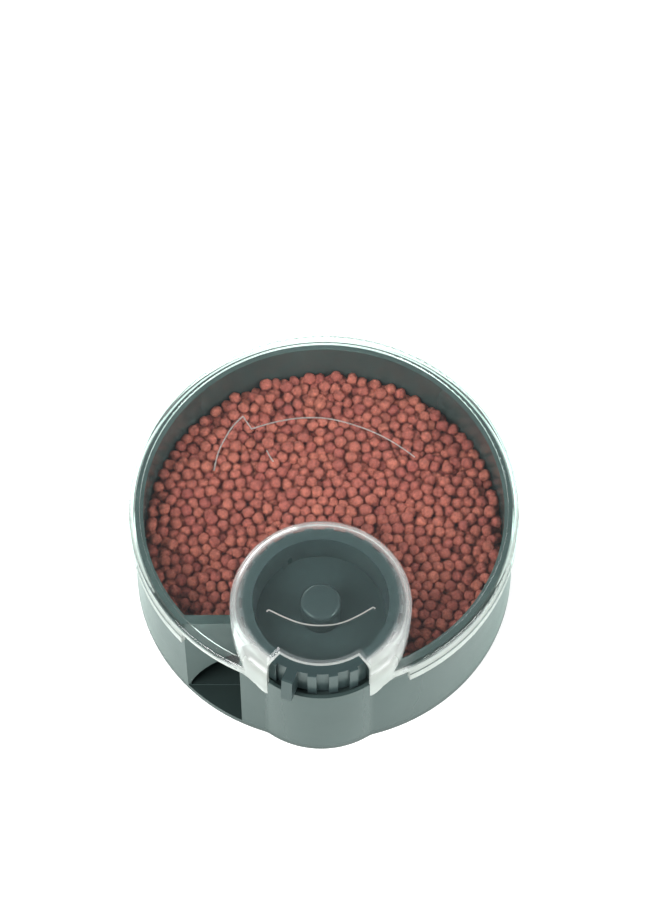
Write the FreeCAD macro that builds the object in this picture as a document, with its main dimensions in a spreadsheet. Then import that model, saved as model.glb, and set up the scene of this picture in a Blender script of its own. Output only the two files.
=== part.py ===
import FreeCAD, Part
import math
import os
import Sketcher

# Food drum of an automatic fish feeder. Millimetres. The drum's axis is Z, its flat back lies on
# z = 0 and the clear lid faces +Z. The dose dial stands at the front (-Y).

DIMENSIONS = {
    "drum_radius": 34.0, "wall": 1.5, "body_top": 24.5,
    "base_radius": 34.8, "draft_top": 33.95, "base_thickness": 1.4, "crease": 3.0,
    "dial_x": -0.6, "dial_y": -20.4,
    "lobe_radius": 16.0, "lobe_base": 16.1, "lobe_top": 15.45, "lobe_rim": 21.8,
    "well_radius": 13.4, "well_wall": 1.0,
    "ledge_top": 20.8, "ledge_thickness": 1.2, "collar_radius": 14.8, "collar_top": 24.4,
    "notch_side": -15.0, "notch_back_low": -24.35, "notch_back_high": -22.8, "notch_wall": 1.75,
    "arch_radius": 18.6, "arch_x": -6.5, "arch_z": -3.0, "arch_side": -8.5, "mouth_skin": 0.45,
    "tunnel_back": -13.0, "tunnel_wall": 1.2,
    "lid_gap": 0.1, "lid_thickness": 1.0, "rim_height": 0.45, "rim_width": 1.9, "rim_radius": 35.0,
    "skirt_gap": 0.3, "skirt_low": 20.4, "skirt_ridge": 22.5, "ridge_step": 0.2,
    "skirt_start": -64.5, "skirt_sweep": 288.4, "collar_drop": 0.7,
    "hood_radius": 16.1, "hood_top": 30.0, "hood_round": 2.1, "hood_wall": 0.75,
    "flank_radius": 25.0, "hood_front": 17.7,
    "window_radius": 12.45, "window_corner": 6.9, "window_half": 9.0, "leg_low": 20.9,
    "tooth_count": 24, "tooth_tip": 14.45, "tooth_root": 13.95, "tooth_width": 1.6,
    "tooth_phase": -21.3, "dial_top": 28.9, "dial_low": 21.2, "cup_mouth": 12.05, "cup_foot": 11.5,
    "cup_floor": 23.0, "pointer_width": 2.0, "pointer_top": 16.4, "pointer_foot": 17.0,
    "hub_radius": 5.5, "hub_low": 20.1, "key_length": 8.0, "key_width": 3.0,
    "rotor_radius": 13.1, "rotor_low": 1.8, "rotor_top": 19.9, "rotor_wall": 1.2, "rotor_cap": 2.6,
    "port_low": 2.6, "port_height": 11.0, "spindle_radius": 1.5, "spindle_top": 26.5,
    "spindle_foot": 0.6, "running": 0.06, "cap_radius": 3.65, "cap_low": 23.3,
    "socket_radius": 2.5, "socket_round": 4.5, "socket_depth": 9.0,
    "tip_radius": 2.0, "tip_flat": 1.5,
    "hub_flange": 6.5, "hub_barrel": 4.6, "hub_top": 11.5, "hub_rib": 5.6,
    "spindle_foot_radius": 3.0, "spindle_foot_top": 4.2,
    "screw_circle": 30.4, "screw_radius": 1.0, "screw_head": 1.9, "screw_length": 7.0,
    "boss_radius": 2.4, "boss_top": 9.6,
}
SCREW_ANGLES = (28.0, 105.0, 188.0, -38.0)
INLET_PORT = (22.0, 52.0)
OUTLET_PORT = (160.0, 40.0)
ROTOR_INLET = (-30.0, 56.0)
ROTOR_OUTLET = (105.0, 102.0)

doc = FreeCAD.newDocument("feed_drum")
sheet = doc.addObject("Spreadsheet::Sheet", "Dims")
for row, (alias, number) in enumerate(DIMENSIONS.items(), start=1):
    sheet.set("A%d" % row, alias)
    sheet.set("B%d" % row, str(number))
    sheet.setAlias("B%d" % row, alias)
doc.recompute()


class Size:
    """A length that keeps its number and the sheet expression that gives it."""

    def __init__(self, number, text):
        self.number = float(number)
        self.text = text

    def __add__(self, other):
        other = size(other)
        return Size(self.number + other.number, "(%s + %s)" % (self.text, other.text))

    def __sub__(self, other):
        other = size(other)
        return Size(self.number - other.number, "(%s - %s)" % (self.text, other.text))

    def __mul__(self, factor):
        return Size(self.number * factor, "(%s * %s)" % (self.text, factor))

    def __neg__(self):
        return Size(-self.number, "(0 - %s)" % self.text)


def size(value):
    if isinstance(value, Size):
        return value
    if isinstance(value, str):
        return Size(DIMENSIONS[value], "Dims.%s" % value)
    return Size(value, "%.6g" % value)


def bind(obj, prop, value):
    obj.setExpression(prop, size(value).text)


def place(obj, x=0, y=0, z=0):
    for axis, value in zip("xyz", (x, y, z)):
        bind(obj, "Placement.Base.%s" % axis, value)


# ---------- solids made of primitives and booleans ----------

def cylinder(name, radius, low, high, x=0, y=0, start=0.0, sweep=360.0):
    solid = doc.addObject("Part::Cylinder", name)
    bind(solid, "Radius", radius)
    bind(solid, "Height", size(high) - low)
    solid.Angle = sweep
    solid.Placement = FreeCAD.Placement(
        FreeCAD.Vector(), FreeCAD.Rotation(FreeCAD.Vector(0, 0, 1), start))
    place(solid, x, y, low)
    return solid


def at_dial(name, radius, low, high, start=0.0, sweep=360.0):
    return cylinder(name, radius, low, high, "dial_x", "dial_y", start, sweep)


def box(name, x_low, x_high, y_low, y_high, z_low, z_high):
    solid = doc.addObject("Part::Box", name)
    bind(solid, "Length", size(x_high) - x_low)
    bind(solid, "Width", size(y_high) - y_low)
    bind(solid, "Height", size(z_high) - z_low)
    place(solid, x_low, y_low, z_low)
    return solid


def fuse(name, *shapes):
    joined = doc.addObject("Part::MultiFuse", name)
    joined.Shapes = list(shapes)
    joined.Refine = True
    return joined


def common(name, *shapes):
    shared = doc.addObject("Part::MultiCommon", name)
    shared.Shapes = list(shapes)
    return shared


def cut(name, base, *tools):
    result = doc.addObject("Part::Cut", name)
    result.Base = base
    result.Tool = tools[0] if len(tools) == 1 else fuse(name + "_tools", *tools)
    result.Refine = True
    return result


def extrude(name, sketch, direction, length):
    solid = doc.addObject("Part::Extrusion", name)
    solid.Base = sketch
    solid.DirMode = "Custom"
    solid.Dir = direction
    bind(solid, "LengthFwd", length)
    solid.Solid = True
    return solid


# ---------- sketches ----------

def free_sketch(name, turn=None, x=0, y=0, z=0):
    """A sketch on XY, or on XZ or YZ when turned, moved to x, y, z."""
    sketch = doc.addObject("Sketcher::SketchObject", name)
    turns = {None: FreeCAD.Rotation(), "XZ": FreeCAD.Rotation(FreeCAD.Vector(1, 0, 0), 90),
             "YZ": FreeCAD.Rotation(FreeCAD.Vector(1, 1, 1), 120)}
    sketch.Placement = FreeCAD.Placement(FreeCAD.Vector(), turns[turn])
    place(sketch, x, y, z)
    return sketch


def body_sketch(body, name, role="XY_Plane", height=0):
    """A sketch of a PartDesign body on one of its origin planes, raised by height."""
    sketch = body.newObject("Sketcher::SketchObject", name)
    plane = [item for item in body.Origin.OriginFeatures if item.Role == role][0]
    sketch.AttachmentSupport = [(plane, "")]
    sketch.MapMode = "FlatFace"
    bind(sketch, "AttachmentOffset.Base.z", height)
    return sketch


def pin_point(sketch, curve, end, x, y):
    x = size(x)
    y = size(y)
    for kind, value in (("DistanceX", x), ("DistanceY", y)):
        index = sketch.addConstraint(Sketcher.Constraint(kind, -1, 1, curve, end, value.number))
        sketch.setExpression("Constraints[%d]" % index, value.text)


def set_radius(sketch, curve, radius):
    radius = size(radius)
    index = sketch.addConstraint(Sketcher.Constraint("Radius", curve, radius.number))
    sketch.setExpression("Constraints[%d]" % index, radius.text)


def vector(x, y):
    return FreeCAD.Vector(size(x).number, size(y).number, 0)


def outline(sketch, points):
    """A closed outline of straight edges through points given as sizes."""
    count = len(points)
    for i, point in enumerate(points):
        sketch.addGeometry(Part.LineSegment(vector(*point), vector(*points[(i + 1) % count])))
    for i, point in enumerate(points):
        sketch.addConstraint(Sketcher.Constraint("Coincident", i, 2, (i + 1) % count, 1))
        pin_point(sketch, i, 1, *point)


def circle(sketch, radius, x=0, y=0):
    normal = FreeCAD.Vector(0, 0, 1)
    curve = sketch.addGeometry(Part.Circle(vector(x, y), normal, size(radius).number))
    pin_point(sketch, curve, 3, x, y)
    set_radius(sketch, curve, radius)


def arc_between(centre, radius, start, end):
    while end < start:
        end += 2 * math.pi
    ring = Part.Circle(centre, FreeCAD.Vector(0, 0, 1), radius)
    return Part.ArcOfCircle(ring, start, end)


def heading(origin, target):
    return math.atan2(target.y - origin.y, target.x - origin.x)


def lobed_outline(sketch, drum, lobe, crease):
    """The drum's circle and the dial lobe's circle, joined by a hollow arc on each side."""
    drum = size(drum)
    lobe = size(lobe)
    crease = size(crease)
    middle = FreeCAD.Vector(0, 0, 0)
    dial = vector("dial_x", "dial_y")
    spread = dial.Length
    far = drum.number + crease.number
    near = lobe.number + crease.number
    half = math.acos((far ** 2 + spread ** 2 - near ** 2) / (2 * far * spread))
    lean = heading(middle, dial)
    right = FreeCAD.Vector(far * math.cos(lean + half), far * math.sin(lean + half), 0)
    left = FreeCAD.Vector(far * math.cos(lean - half), far * math.sin(lean - half), 0)
    arcs = [
        arc_between(middle, drum.number, heading(middle, right), heading(middle, left)),
        arc_between(left, crease.number, heading(left, dial), heading(left, middle)),
        arc_between(dial, lobe.number, heading(dial, left), heading(dial, right)),
        arc_between(right, crease.number, heading(right, middle), heading(right, dial)),
    ]
    for arc in arcs:
        sketch.addGeometry(arc)
    for first, end, second, start in ((0, 2, 1, 2), (1, 1, 2, 1), (2, 2, 3, 2), (3, 1, 0, 1)):
        sketch.addConstraint(Sketcher.Constraint("Tangent", first, end, second, start))
    pin_point(sketch, 0, 3, 0, 0)
    pin_point(sketch, 2, 3, "dial_x", "dial_y")
    for curve, radius in ((0, drum), (1, crease), (2, lobe), (3, crease)):
        set_radius(sketch, curve, radius)


def lobed_prism(name, drum, lobe, crease, low, high):
    sketch = free_sketch(name + "_outline", z=low)
    lobed_outline(sketch, drum, lobe, crease)
    return extrude(name, sketch, FreeCAD.Vector(0, 0, 1), size(high) - low)


def ruled_solid(name, lower, upper):
    """Straight walls between two sketches with the same number of edges."""
    solid = doc.addObject("Part::Loft", name)
    solid.Sections = [lower, upper]
    solid.Solid = True
    solid.Ruled = True
    return solid


def lobed_shell(name):
    """The housing's outside: it narrows a little from the base plate up to the lobe's rim."""
    lower = free_sketch(name + "_foot", z="base_thickness")
    lobed_outline(lower, "base_radius", "lobe_base", "crease")
    upper = free_sketch(name + "_rim", z="lobe_rim")
    lobed_outline(upper, "draft_top", "lobe_top", "crease")
    return ruled_solid(name, lower, upper)


def side_profile(name, points, x_low, x_high):
    """A prism along X between x_low and x_high, from its outline in Y and Z."""
    sketch = free_sketch(name + "_outline", "YZ", x=x_low)
    outline(sketch, points)
    return extrude(name, sketch, FreeCAD.Vector(1, 0, 0), size(x_high) - x_low)


# ---------- PartDesign bodies ----------

def new_body(label):
    body = doc.addObject("PartDesign::Body", label)
    body.Label = label
    return body


def pad(body, sketch, length, name):
    feature = body.newObject("PartDesign::Pad", name)
    feature.Profile = sketch
    bind(feature, "Length", length)
    sketch.Visibility = False
    doc.recompute()
    return feature


def pocket(body, sketch, length, name, upward=True):
    feature = body.newObject("PartDesign::Pocket", name)
    feature.Profile = sketch
    feature.Reversed = upward
    before = feature.BaseFeature.Shape.Volume
    bind(feature, "Length", length)
    doc.recompute()
    if feature.Shape.Volume >= before:
        raise ValueError("%s removed nothing" % name)
    return feature


def revolve(body, points, name, groove=False):
    """A full turn about the body's Z axis of an outline given in radius and height."""
    sketch = body_sketch(body, name + "_profile", "XZ_Plane")
    outline(sketch, points)
    kind = "PartDesign::Groove" if groove else "PartDesign::Revolution"
    feature = body.newObject(kind, name)
    feature.Profile = sketch
    feature.ReferenceAxis = (sketch, ["V_Axis"])
    feature.Angle = 360.0
    doc.recompute()
    return feature


def round_edges(body, name, radius, wanted, kind="PartDesign::Fillet"):
    """Fillet or chamfer the edges of the body's tip that wanted() picks."""
    base = body.Tip
    edges = ["Edge%d" % (i + 1) for i, edge in enumerate(base.Shape.Edges) if wanted(edge)]
    feature = body.newObject(kind, name)
    feature.Base = (base, edges)
    if kind == "PartDesign::Fillet":
        bind(feature, "Radius", radius)
    else:
        bind(feature, "Size", radius)
    doc.recompute()
    return feature


def is_ring(edge, radius, height):
    curve = edge.Curve
    return (isinstance(curve, Part.Circle) and abs(curve.Radius - size(radius).number) < 0.01
            and abs(curve.Center.z - size(height).number) < 0.01)


# ---------- the drum's shell ----------

def arch_prism(name, extra, front, back):
    """The tunnel's arched section, grown by extra, run along Y from front to back."""
    radius = size("arch_radius") + extra
    sketch = free_sketch(name + "_circle", "XZ", y=back)
    circle(sketch, radius, "arch_x", "arch_z")
    barrel = extrude(name + "_barrel", sketch, FreeCAD.Vector(0, -1, 0), size(back) - front)
    clear = box(name + "_limit", size("arch_side") - 30, "arch_side", front, back,
                "base_thickness", "body_top")
    return common(name, barrel, clear)


def notch_back(name, shift, x_high):
    """Everything in front of the notch's leaning back wall, moved back by shift."""
    low = size("notch_back_low") + shift
    high = size("notch_back_high") + shift
    points = [(size(-45), "base_thickness"), (low, "base_thickness"), (high, "body_top"),
              (high, size("body_top") + 1.0), (size(-45), size("body_top") + 1.0)]
    return side_profile(name, points, size(-45), x_high)


def screw_posts(radius, low, high, name):
    posts = []
    for i, angle in enumerate(SCREW_ANGLES):
        turn = math.radians(angle)
        x = size("screw_circle") * round(math.cos(turn), 6)
        y = size("screw_circle") * round(math.sin(turn), 6)
        posts.append(cylinder("%s_%d" % (name, i), radius, low, high, x, y))
    return posts


def well_port(name, span, inner, outer, low, height):
    start, sweep = span
    wedge = at_dial(name + "_outer", outer, low, size(low) + height, start, sweep)
    core = at_dial(name + "_inner", inner, low, size(low) + height)
    return cut(name, wedge, core)


def make_drum_body():
    floor = size("base_thickness")
    inner = size("drum_radius") - "wall"
    well_outer = size("well_radius") + "well_wall"
    over = size("body_top") + 2

    outer = fuse("outer_form",
                 cylinder("drum_form", "drum_radius", floor, "body_top"),
                 lobed_shell("lobe_form"))
    kept = fuse("kept_inside",
                at_dial("well_form", well_outer, floor, "ledge_top"),
                at_dial("ledge_form", "lobe_top", size("ledge_top") - "ledge_thickness",
                        "ledge_top"),
                arch_prism("tunnel_form", "tunnel_wall", size(-27),
                           size("tunnel_back") + "tunnel_wall"),
                notch_back("notch_form", "notch_wall", size("notch_side") + 3),
                *screw_posts("boss_radius", floor, "boss_top", "boss"))
    chamber = cut("chamber", cylinder("chamber_form", inner, floor, over), kept)
    shell = cut("shell", outer, chamber,
                notch_back("notch_cut", 0, "notch_side"),
                at_dial("well_bore", "well_radius", size(0), over))
    collar = cut("collar",
                 at_dial("collar_form", "lobe_top", "ledge_top", "collar_top"),
                 at_dial("collar_hole", "well_radius", "ledge_top", over))
    joined = fuse("joined", shell, collar)

    front = common("front_opening",
                   at_dial("front_reach", size("lobe_radius") + 0.6, "lobe_rim", over),
                   box("front_half", size(-20), size(20), size(-45), size(-29), "lobe_rim", over))
    mouth = common("mouth", arch_prism("mouth_arch", 0, size(-27), size("notch_back_low") + 2.2),
                   cylinder("mouth_limit", size("base_radius") - "mouth_skin", floor, over))
    hollow = common("tunnel_hollow", arch_prism("tunnel_arch", 0, size(-23.6), "tunnel_back"),
                    cylinder("tunnel_limit", inner, floor, over))
    tunnel = cut("tunnel", fuse("tunnel_cut", mouth, hollow),
                 at_dial("tunnel_side", well_outer, size(0), over))
    body = cut("drum_body", joined,
               at_dial("collar_bore", "collar_radius", "ledge_top", over), front, tunnel,
               well_port("inlet_port", INLET_PORT, size(10), well_outer + 1, "port_low",
                         "port_height"),
               well_port("outlet_port", OUTLET_PORT, size(10), well_outer + 0.5, "port_low",
                         size("port_height") - 1.5),
               *screw_posts("screw_radius", floor, floor + "screw_length", "pilot"))
    body.Label = "drum_body"
    return body


# ---------- the back ----------

def make_base_plate():
    body = new_body("base_plate")
    sketch = body_sketch(body, "plate_outline")
    lobed_outline(sketch, "base_radius", "lobe_base", "crease")
    pad(body, sketch, "base_thickness", "plate")
    holes = (("hub_hole", size("hub_barrel") + 0.02, 0, 0, 0, "base_thickness"),
             ("flange_hole", size("hub_flange") + 0.02, 0, 0, 0, 0.7),
             ("spindle_hole", "spindle_radius", "dial_x", "dial_y", "spindle_foot", 1.0))
    for name, radius, x, y, low, depth in holes:
        sketch = body_sketch(body, name, height=low)
        circle(sketch, radius, x, y)
        pocket(body, sketch, depth, name + "_pocket")
    for i, angle in enumerate(SCREW_ANGLES):
        turn = math.radians(angle)
        sketch = body_sketch(body, "screw_hole_%d" % i)
        circle(sketch, size("screw_radius") + 0.15, size("screw_circle") * round(math.cos(turn), 6),
               size("screw_circle") * round(math.sin(turn), 6))
        pocket(body, sketch, size("base_thickness"), "screw_hole_%d_pocket" % i)
    rim = size("screw_radius") + 0.15
    round_edges(body, "screw_seats", size("screw_head") - rim - 0.05,
                lambda edge: is_ring(edge, rim, 0), "PartDesign::Chamfer")
    return body


def shaft_outline(sketch):
    """The section of the shaft's narrower tip: a circle with one flat."""
    reach = math.acos(DIMENSIONS["tip_flat"] / DIMENSIONS["tip_radius"])
    across = DIMENSIONS["tip_radius"] * math.sin(reach)
    sketch.addGeometry(arc_between(FreeCAD.Vector(), DIMENSIONS["tip_radius"],
                                   math.pi / 2 + reach, math.pi / 2 - reach))
    sketch.addGeometry(Part.LineSegment(vector(across, "tip_flat"), vector(-across, "tip_flat")))
    sketch.addConstraint(Sketcher.Constraint("Coincident", 0, 2, 1, 1))
    sketch.addConstraint(Sketcher.Constraint("Coincident", 0, 1, 1, 2))
    sketch.addConstraint(Sketcher.Constraint("Horizontal", 1))
    pin_point(sketch, 0, 3, 0, 0)
    set_radius(sketch, 0, "tip_radius")
    index = sketch.addConstraint(
        Sketcher.Constraint("DistanceY", -1, 1, 1, 1, DIMENSIONS["tip_flat"]))
    bind(sketch, "Constraints[%d]" % index, "tip_flat")


def make_drive_socket():
    """The hub on the motor's shaft: round at the mouth, then narrower and with a flat."""
    body = new_body("drive_socket")
    plate = size("base_thickness")
    revolve(body, [(0, 0), ("hub_flange", 0), ("hub_flange", 0.7), ("hub_barrel", 0.7),
                   ("hub_barrel", plate), ("hub_rib", plate), ("hub_rib", plate + 1.2),
                   ("hub_barrel", plate + 2.2), ("hub_barrel", size("hub_top") - 0.5),
                   (size("hub_barrel") - 0.5, "hub_top"), (0, "hub_top")], "barrel")
    sketch = body_sketch(body, "mouth_circle")
    circle(sketch, "socket_radius")
    pocket(body, sketch, "socket_round", "mouth_pocket")
    sketch = body_sketch(body, "shaft_outline", height="socket_round")
    shaft_outline(sketch)
    pocket(body, sketch, size("socket_depth") - "socket_round", "shaft_pocket")
    return body


def make_base_screws():
    shank = size("screw_radius") - 0.02
    top = size("base_thickness") + "screw_length"
    body = new_body("screw_form")
    head = size("screw_head") - 0.25
    revolve(body, [(0, 0.1), (head, 0.1), (shank, head - shank + 0.1), (shank, top - 0.9),
                   (0.25, top - 0.2), (0, top - 0.2)], "screw")
    sketch = body_sketch(body, "drive_cross")
    half = size(0.9)
    slot = size(0.2)
    outline(sketch, [(-half, -slot), (-slot, -slot), (-slot, -half), (slot, -half), (slot, -slot),
                     (half, -slot), (half, slot), (slot, slot), (slot, half), (-slot, half),
                     (-slot, slot), (-half, slot)])
    pocket(body, sketch, 0.6, "drive_cross_pocket")
    copies = []
    for i, angle in enumerate(SCREW_ANGLES):
        copy = doc.addObject("Part::Feature", "screw_copy_%d" % i)
        copy.Shape = body.Shape
        radius = DIMENSIONS["screw_circle"]
        turn = math.radians(angle)
        copy.Placement = FreeCAD.Placement(
            FreeCAD.Vector(radius * math.cos(turn), radius * math.sin(turn), 0),
            FreeCAD.Rotation(FreeCAD.Vector(0, 0, 1), angle))
        copies.append(copy)
    group = doc.addObject("Part::Compound", "base_screws")
    group.Links = copies
    group.Label = "base_screws"
    return group


# ---------- the dial, its rotor and its spindle ----------

def make_dial_spindle():
    """A shouldered pin: it stands in the base plate on a wide foot."""
    body = new_body("dial_spindle")
    top = size("spindle_top")
    floor = size("base_thickness")
    revolve(body, [(0, "spindle_foot"), ("spindle_radius", "spindle_foot"),
                   ("spindle_radius", floor), ("spindle_foot_radius", floor),
                   ("spindle_foot_radius", "spindle_foot_top"),
                   ("spindle_radius", "spindle_foot_top"), ("spindle_radius", top - 0.3),
                   (size("spindle_radius") - 0.3, top), (0, top)], "pin")
    place(body, "dial_x", "dial_y")
    return body


def make_spindle_cap():
    body = new_body("spindle_cap")
    hole = size("spindle_radius")
    top = size("dial_top")
    revolve(body, [(hole, "cap_low"), ("cap_radius", "cap_low"), ("cap_radius", top), (0, top),
                   (0, "spindle_top"), (hole, "spindle_top")], "post")
    round_edges(body, "crown", 0.8, lambda edge: is_ring(edge, "cap_radius", top))
    place(body, "dial_x", "dial_y")
    return body


def dial_turn():
    """The dial's setting: its pointer tooth stands a little left of the front."""
    return FreeCAD.Placement(
        FreeCAD.Vector(), FreeCAD.Rotation(FreeCAD.Vector(0, 0, 1), DIMENSIONS["tooth_phase"] - 90))


def make_dose_dial():
    body = new_body("dose_dial")
    top = size("dial_top")
    low = size("dial_low")
    hole = size("spindle_radius") + "running"
    revolve(body, [(hole, "hub_low"), ("hub_radius", "hub_low"), ("hub_radius", low),
                   (size("tooth_root") - 0.6, low), ("tooth_root", low + 0.6), ("tooth_root", top),
                   ("cup_mouth", top), ("cup_foot", "cup_floor"), (hole, "cup_floor")], "cup")
    sketch = body_sketch(body, "tooth_profile", "XZ_Plane")
    outline(sketch, [(size("tooth_root") - 0.4, low + 0.4), ("tooth_tip", low + 0.4),
                     ("tooth_tip", top - 0.15), (size("tooth_tip") - 0.15, top),
                     (size("tooth_root") - 0.4, top)])
    tooth = body.newObject("PartDesign::Pad", "tooth")
    tooth.Profile = sketch
    tooth.Midplane = True
    bind(tooth, "Length", "tooth_width")
    doc.recompute()
    teeth = body.newObject("PartDesign::PolarPattern", "teeth")
    teeth.Originals = [tooth]
    teeth.Axis = ([item for item in body.Origin.OriginFeatures if item.Role == "Z_Axis"][0], [""])
    teeth.Angle = 360.0
    bind(teeth, "Occurrences", "tooth_count")
    body.Tip = teeth
    doc.recompute()
    sketch = body_sketch(body, "pointer_profile", "XZ_Plane")
    foot = size("lobe_rim") + 0.4
    outline(sketch, [(size("tooth_root") - 0.4, foot), ("pointer_foot", foot),
                     ("pointer_top", top - 0.3), (size("pointer_top") - 0.3, top),
                     (size("tooth_root") - 0.4, top)])
    pointer = body.newObject("PartDesign::Pad", "pointer")
    pointer.Profile = sketch
    pointer.Midplane = True
    bind(pointer, "Length", "pointer_width")
    doc.recompute()
    sketch = body_sketch(body, "key_slot", height="hub_low")
    half = size("key_length") * 0.5 + 0.05
    side = size("key_width") * 0.5 + 0.05
    outline(sketch, [(-half, -side), (half, -side), (half, side), (-half, side)])
    pocket(body, sketch, 1.5, "key_slot_pocket")
    body.Placement = dial_turn()
    place(body, "dial_x", "dial_y")
    return body


def make_metering_rotor():
    bore = size("spindle_radius") + "running"
    inner = size("rotor_radius") - "rotor_wall"
    cap_low = size("rotor_top") - "rotor_cap"
    drum = cut("rotor_drum", at_dial("rotor_form", "rotor_radius", "rotor_low", "rotor_top"),
               at_dial("rotor_hollow", inner, size("rotor_low") + "rotor_wall", cap_low),
               at_dial("rotor_foot", size("spindle_foot_radius") + 0.4, size(0), cap_low),
               well_port("rotor_inlet", ROTOR_INLET, size(9), size("rotor_radius") + 1,
                         size("port_low") + 0.6, size("port_height") - 0.6),
               well_port("rotor_outlet", ROTOR_OUTLET, size(9), size("rotor_radius") + 1,
                         size("port_low") + 0.6, size("port_height") - 0.6),
               well_port("ring_groove", (0.0, 360.0), size("rotor_radius") - 1.35,
                         size("rotor_radius") + 1, size("rotor_top") - 2.1, 1.5))
    key_sketch = free_sketch("key_outline")
    key_sketch.Placement = dial_turn()
    place(key_sketch, "dial_x", "dial_y", size("rotor_top") - 1)
    half = size("key_length") * 0.5
    side = size("key_width") * 0.5
    outline(key_sketch, [(-half, -side), (half, -side), (half, side), (-half, side)])
    key = extrude("key_form", key_sketch, FreeCAD.Vector(0, 0, 1), 2.5)
    rotor = cut("metering_rotor", fuse("rotor_keyed", drum, key),
                at_dial("rotor_bore", bore, size(0), size("rotor_top") + 3))
    rotor.Label = "metering_rotor"
    return rotor


def make_dial_o_ring():
    ring = doc.addObject("Part::Torus", "dial_o_ring")
    ring.Label = "dial_o_ring"
    bind(ring, "Radius1", size("rotor_radius") - 0.62)
    bind(ring, "Radius2", 0.7)
    place(ring, "dial_x", "dial_y", size("rotor_top") - 1.35)
    return ring


# ---------- the clear lid ----------

def rim_ring(name, inner, outer, low, high, start=0.0, sweep=360.0):
    return cut(name, cylinder(name + "_outer", outer, low, high, 0, 0, start, sweep),
               cylinder(name + "_inner", inner, low, high))


def middle_turn():
    """The turn of the housing's middle line, which runs from the drum's axis to the dial's."""
    lean = math.degrees(math.atan2(DIMENSIONS["dial_x"], -DIMENSIONS["dial_y"]))
    return FreeCAD.Placement(FreeCAD.Vector(), FreeCAD.Rotation(FreeCAD.Vector(0, 0, 1), lean))


def hood_footprint(sketch):
    """A half circle at the back, two flatter arcs beside the window and an arc in front."""
    back = DIMENSIONS["hood_radius"]
    flank = DIMENSIONS["flank_radius"]
    front = DIMENSIONS["hood_front"]
    offset = flank - back
    corner_x = (flank ** 2 - offset ** 2 - front ** 2) / (2 * offset)
    corner_y = -math.sqrt(front ** 2 - corner_x ** 2)
    middle = FreeCAD.Vector(0, 0, 0)
    right = FreeCAD.Vector(corner_x, corner_y, 0)
    left = FreeCAD.Vector(-corner_x, corner_y, 0)
    east = FreeCAD.Vector(offset, 0, 0)
    west = FreeCAD.Vector(-offset, 0, 0)
    sketch.addGeometry(arc_between(middle, back, 0, math.pi))
    sketch.addGeometry(arc_between(east, flank, math.pi, heading(east, left)))
    sketch.addGeometry(arc_between(middle, front, heading(middle, left), heading(middle, right)))
    sketch.addGeometry(arc_between(west, flank, heading(west, right), 0))
    for first, second in ((0, 1), (1, 2), (2, 3), (3, 0)):
        sketch.addConstraint(Sketcher.Constraint("Coincident", first, 2, second, 1))
    for curve, point in ((0, 1), (0, 2), (1, 3), (3, 3)):
        sketch.addConstraint(Sketcher.Constraint("DistanceY", -1, 1, curve, point, 0.0))
    pin_point(sketch, 0, 3, 0, 0)
    pin_point(sketch, 2, 3, 0, 0)
    for curve, radius in ((0, "hood_radius"), (1, "flank_radius"), (2, "hood_front"),
                          (3, "flank_radius")):
        set_radius(sketch, curve, radius)


def make_leg_form(low):
    """The wall round the hood's foot: it leans outwards and closes over the lobe's rim."""
    inner = size("hood_radius") - "hood_wall"
    flare = size("lobe_radius") + 1.05
    front = size("hood_front") + 0.5
    skin = size("lobe_radius") + "skirt_gap"
    seat = size("lobe_rim") + 0.4
    sketch = free_sketch("leg_profile", "XZ", "dial_x", "dial_y")
    outline(sketch, [(inner, seat), (skin, seat), (skin, low), (flare - 0.25, low),
                     (flare, size(low) + 0.25), (flare + 0.1, size("lobe_rim") + 1.0),
                     (front, "body_top"), (front, 27.0), (inner, 27.0)])
    ring = doc.addObject("Part::Revolution", "leg_ring")
    ring.Source = sketch
    ring.Axis = FreeCAD.Vector(0, 0, 1)
    bind(ring, "Base.x", "dial_x")
    bind(ring, "Base.y", "dial_y")
    ring.Angle = 360.0
    ring.Solid = True
    foot = free_sketch("foot_outline")
    hood_footprint(foot)
    foot.Placement = middle_turn()
    place(foot, "dial_x", "dial_y", low)
    limit = extrude("foot_limit", foot, FreeCAD.Vector(0, 0, 1), size(27.0) - low)
    return common("leg_wall", ring, limit)


def make_leg_reach():
    """Two tongues seen from the front: level at the window, sloping up beside it."""
    sketch = free_sketch("tongue_outline", "XZ", size("dial_x") - 0.4, y=-29)
    out = size(14.2)
    tip = size(10.6)
    low = size("leg_low")
    for side in (1, -1):
        points = [("window_half", low + 0.45), (size("window_half") + 0.35, low), (tip - 0.5, low),
                  (tip + 0.2, low + 0.35), (size(12.0), 22.6), (out, size("body_top") + 0.1),
                  (out, 27.5), ("window_half", 27.5)]
        signed = [(size(x) * side, size(z)) for x, z in points]
        start = sketch.GeometryCount
        count = len(signed)
        for i in range(count):
            sketch.addGeometry(Part.LineSegment(vector(*signed[i]), vector(*signed[(i + 1) % count])))
        for i in range(count):
            sketch.addConstraint(
                Sketcher.Constraint("Coincident", start + i, 2, start + (i + 1) % count, 1))
            pin_point(sketch, start + i, 1, *signed[i])
    return extrude("tongue_reach", sketch, FreeCAD.Vector(0, -1, 0), 12)


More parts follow.
